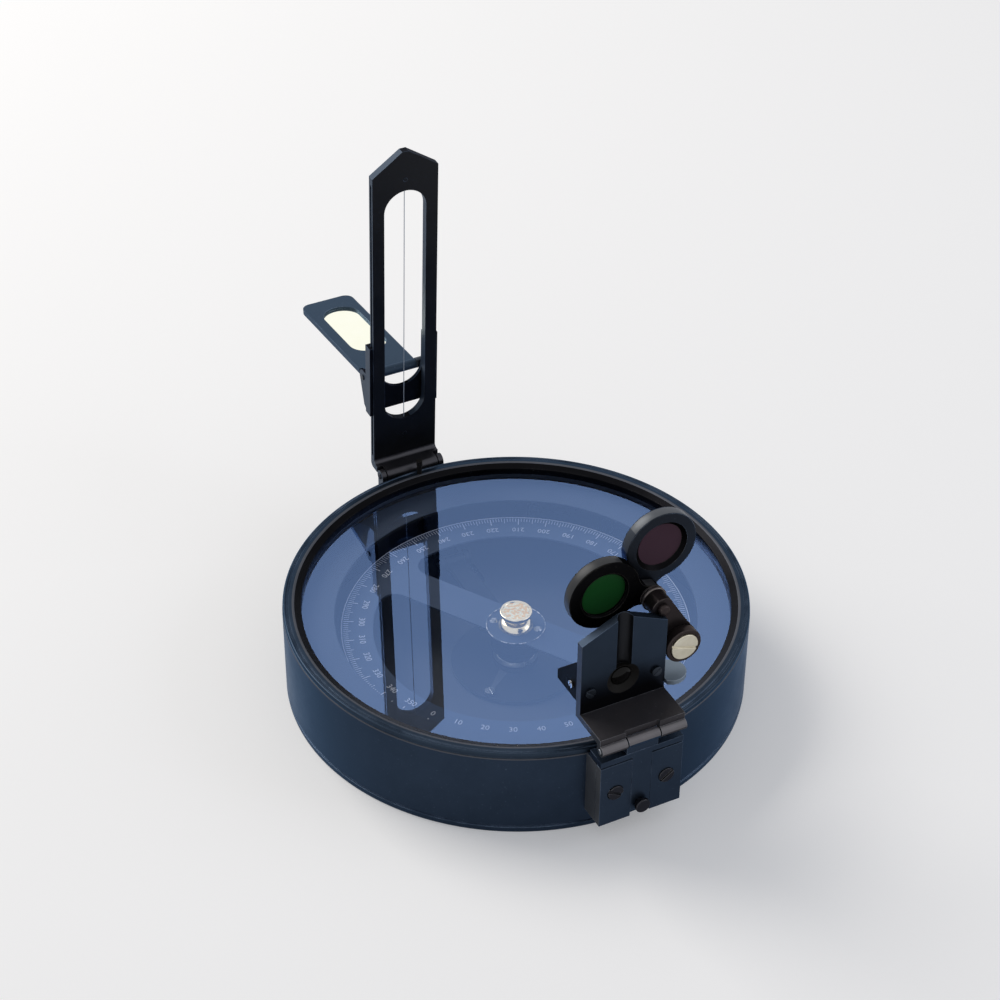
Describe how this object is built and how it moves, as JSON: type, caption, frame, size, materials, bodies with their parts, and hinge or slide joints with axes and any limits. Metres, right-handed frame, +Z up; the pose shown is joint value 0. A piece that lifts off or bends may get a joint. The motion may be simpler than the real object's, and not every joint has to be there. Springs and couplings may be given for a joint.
{
  "type": "surveyors compass",
  "caption": "Prismatic surveying compass with a folding slotted sight vane, a tilting mirror, a focusing prism, two sun glasses and a floating card under glass",
  "frame": {"origin": "centre of the base plane, at the mouth of the tripod socket", "axes": "+Y is the line of sight from the prism to the sight vane, +Z is up, +X is to the right of the observer"},
  "size_m": [0.11, 0.1662, 0.1136],
  "materials": {
    "case_enamel": "satin",
    "black_enamel": "satin",
    "mirror_enamel": "satin",
    "clear_glass": "gloss",
    "green_glass": "gloss",
    "red_glass": "gloss",
    "silver_mirror": "polished",
    "brass": "satin",
    "polished_brass": "polished",
    "card_aluminium": "matte",
    "steel": "satin",
    "spring_bronze": "satin",
    "agate": "polished",
    "gasket_rubber": "matte"
  },
  "bodies": {
    "case": {"case_body": "case_enamel", "tripod_bush": "brass", "bush_screws": "steel", "glass_gasket": "gasket_rubber", "glass": "clear_glass", "bezel": "case_enamel", "pivot_post": "brass", "pivot_pin": "steel", "vane_bracket": "black_enamel", "vane_bracket_screws": "black_enamel", "vane_hinge_pin": "steel", "guide_block": "case_enamel", "left_cheek": "case_enamel", "right_cheek": "case_enamel", "cheek_screws": "black_enamel", "slide_spring": "spring_bronze", "lever_stand": "brass", "lever_pin": "steel", "stand_screws": "steel", "lever_spring": "spring_bronze", "brake_post": "brass"},
    "card": {"card_ring": "card_aluminium", "magnetic_needle": "steel", "card_rivets": "brass", "cap": "polished_brass", "cap_jewel": "agate", "dip_weight": "brass"},
    "vane": {"sight_vane": "black_enamel", "hair_line": "steel", "hair_pins": "brass"},
    "slider": {"mirror_slider": "mirror_enamel", "mirror_hinge_pin": "steel", "mirror_spacer": "steel"},
    "mirror": {"mirror_frame": "mirror_enamel", "mirror_glass": "silver_mirror", "mirror_back": "mirror_enamel"},
    "focus": {"focusing_slide": "case_enamel", "focusing_stud": "black_enamel", "prism_hinge_pin": "steel"},
    "prism_arm": {"prism_bracket": "black_enamel", "prism_box": "black_enamel", "prism": "clear_glass", "prism_box_screws": "steel", "prism_side_screws": "steel", "lifting_tab": "black_enamel", "filter_bracket": "black_enamel", "bracket_screws": "black_enamel", "bracket_bush": "black_enamel", "brass_screw": "polished_brass", "filter_pivot": "steel", "pivot_cap": "black_enamel"},
    "green_filter": {"green_frame": "black_enamel", "green_glass": "green_glass"},
    "red_filter": {"red_frame": "black_enamel", "red_glass": "red_glass"},
    "lift_pin": {"lifting_pin": "black_enamel"},
    "lever": {"lifting_lever": "brass"},
    "brake": {"brake_button": "black_enamel"},
    "brake_leaf": {"brake_spring": "spring_bronze"}
  },
  "joints": [
    {"name": "card_turn", "type": "hinge", "parent": "case", "child": "card", "pos_m": [0, 0, 0.0142], "axis": [0, 0, 1], "continuous": true},
    {"name": "vane_fold", "type": "hinge", "parent": "case", "child": "vane", "pos_m": [0, 0.0574, 0.0226], "axis": [1, 0, 0], "range_deg": [-2.7, 87.3]},
    {"name": "mirror_slide", "type": "slide", "parent": "vane", "child": "slider", "axis": [0, -0.0471, 0.9989], "range_m": [-0.008, 0.028]},
    {"name": "mirror_tilt", "type": "hinge", "parent": "slider", "child": "mirror", "pos_m": [0, 0.06406, 0.04894], "axis": [1, 0, 0], "range_deg": [-30, 98]},
    {"name": "focus_slide", "type": "slide", "parent": "case", "child": "focus", "axis": [0, 0, 1], "range_m": [0, 0.005]},
    {"name": "prism_fold", "type": "hinge", "parent": "focus", "child": "prism_arm", "pos_m": [0, -0.0602, 0.02796], "axis": [1, 0, 0], "range_deg": [0, 180]},
    {"name": "green_swing", "type": "hinge", "parent": "prism_arm", "child": "green_filter", "pos_m": [0.0103, -0.0425, 0.0519], "axis": [0, -1, 0], "range_deg": [-180, 0]},
    {"name": "red_swing", "type": "hinge", "parent": "prism_arm", "child": "red_filter", "pos_m": [0.0103, -0.0394, 0.0519], "axis": [0, -1, 0], "range_deg": [-92, 88]},
    {"name": "pin_lift", "type": "slide", "parent": "case", "child": "lift_pin", "axis": [0, 0, -1], "range_m": [-0.0001, 0.0014]},
    {"name": "lever_tilt", "type": "hinge", "parent": "case", "child": "lever", "pos_m": [0, 0.034, 0.0092], "axis": [-1, 0, 0], "range_deg": [-0.3, 4.2]},
    {"name": "brake_press", "type": "slide", "parent": "case", "child": "brake", "axis": [-0.5299, -0.848, 0], "range_m": [0, 0.0012], "stiffness_N_per_m": 300},
    {"name": "brake_bend", "type": "hinge", "parent": "case", "child": "brake_leaf", "pos_m": [0.04041, 0.02881, 0.011], "axis": [0, 0, 1], "range_deg": [0, 3.4]}
  ],
  "couplings": [
    {"joint": "pin_lift", "follows": "vane_fold", "m_per_rad": 0.000853},
    {"joint": "lever_tilt", "follows": "vane_fold", "ratio": 0.0443},
    {"joint": "brake_bend", "follows": "brake_press", "rad_per_m": 47.1}
  ]
}
